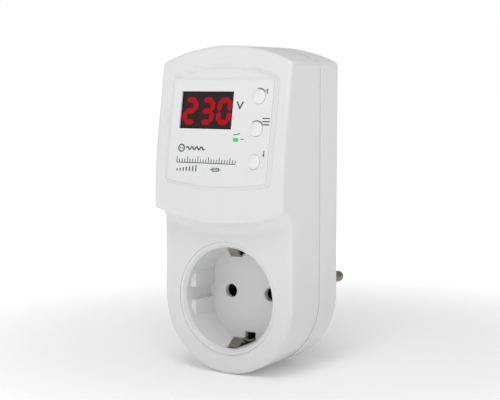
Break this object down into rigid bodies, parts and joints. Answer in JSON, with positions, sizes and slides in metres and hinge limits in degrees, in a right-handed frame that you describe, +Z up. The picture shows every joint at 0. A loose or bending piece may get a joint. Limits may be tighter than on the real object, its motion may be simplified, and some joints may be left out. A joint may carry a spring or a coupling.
{
  "type": "plug-in mains voltage monitor",
  "caption": "Plug-in mains voltage monitor adapter: an earthed two-pin plug on the back, an earthed socket on the front, with an LED voltage display and push buttons.",
  "frame": {"origin": "centre of the plug boss's end face, on the axis midway between the pins", "axes": "+Y along the pins, towards the wall socket; +Z up, towards the display end; the display and the socket face -Y"},
  "size_m": [0.06, 0.0832, 0.1293],
  "materials": {
    "white_shell": "satin moulded white",
    "white_buttons": "satin moulded white",
    "white_insert": "satin moulded white",
    "label_film": "printed film, fine matt",
    "display_black": "dark tinted face",
    "segment_red": "lit red light guides",
    "segment_dark": "unlit light guides",
    "light_green": "lit green light guide",
    "led_package": "clear package",
    "circuit_board": "green lacquer",
    "chip_black": "moulded black",
    "switch_black": "moulded black",
    "switch_stem": "moulded black",
    "header_pins": "plated",
    "relay_blue": "moulded blue",
    "relay_base": "moulded black",
    "soft_iron": "zinc plated",
    "bobbin_plastic": "natural nylon",
    "copper_winding": "enamelled copper",
    "contact_brass": "bare",
    "film_yellow": "moulded box",
    "sleeve_black": "shrink sleeve",
    "varistor_blue": "epoxy dip",
    "fuse_black": "moulded box",
    "nickelled_brass": "dull nickel plate",
    "bare_brass": "bare",
    "carrier_plastic": "moulded grey",
    "wire_brown": "vinyl insulation",
    "wire_black": "vinyl insulation",
    "wire_blue": "vinyl insulation",
    "zinc_screws": "zinc plated"
  },
  "bodies": {
    "case": {"front_housing": "white_shell", "rear_housing": "white_shell", "socket_insert": "white_insert", "face_label": "label_film", "display_body": "display_black", "display_segments_lit": "segment_red", "display_segments_dark": "segment_dark", "light_pipe": "light_green", "status_led": "led_package", "display_board": "circuit_board", "power_board": "circuit_board", "microcontroller": "chip_black", "rectifier": "chip_black", "regulator": "chip_black", "up_switch": "switch_black", "menu_switch": "switch_black", "down_switch": "switch_black", "link_header": "switch_black", "link_header_pins": "header_pins", "relay_case": "relay_blue", "relay_base": "relay_base", "relay_yoke": "soft_iron", "relay_core": "soft_iron", "relay_bobbin": "bobbin_plastic", "relay_winding": "copper_winding", "relay_fixed_contact": "contact_brass", "film_capacitor": "film_yellow", "smoothing_capacitor": "sleeve_black", "varistor": "varistor_blue", "board_fuse": "fuse_black", "plug_pin_left": "nickelled_brass", "plug_pin_right": "nickelled_brass", "socket_earth_strap": "nickelled_brass", "plug_earth_strap": "nickelled_brass", "socket_contact_left": "bare_brass", "socket_contact_right": "bare_brass", "neutral_busbar": "bare_brass", "live_tab": "bare_brass", "earth_link": "bare_brass", "pin_carrier": "carrier_plastic", "live_in_lead": "wire_brown", "live_out_lead": "wire_black", "neutral_lead": "wire_blue", "carrier_screw": "zinc_screws", "case_screws": "zinc_screws", "display_board_screws": "zinc_screws", "power_board_screws": "zinc_screws"},
    "up_key": {"up_button": "white_buttons", "up_plunger": "switch_stem"},
    "menu_key": {"menu_button": "white_buttons", "menu_plunger": "switch_stem"},
    "down_key": {"down_button": "white_buttons", "down_plunger": "switch_stem"},
    "relay_arm": {"relay_armature": "soft_iron", "relay_contact_spring": "contact_brass", "relay_moving_contact": "contact_brass"}
  },
  "joints": [
    {"name": "up_press", "type": "slide", "parent": "case", "child": "up_key", "axis": [0, 0.9869, -0.1616], "range_m": [0, 0.0003], "stiffness_N_per_m": 4000},
    {"name": "menu_press", "type": "slide", "parent": "case", "child": "menu_key", "axis": [0, 0.9869, -0.1616], "range_m": [0, 0.0003], "stiffness_N_per_m": 4000},
    {"name": "down_press", "type": "slide", "parent": "case", "child": "down_key", "axis": [0, 0.9869, -0.1616], "range_m": [0, 0.0003], "stiffness_N_per_m": 4000},
    {"name": "relay_armature_hinge", "type": "hinge", "parent": "case", "child": "relay_arm", "pos_m": [-0.0214, -0.0397, 0.07235], "axis": [0, 0, -1], "range_deg": [0, 3], "stiffness_Nm_per_rad": 0.02}
  ]
}
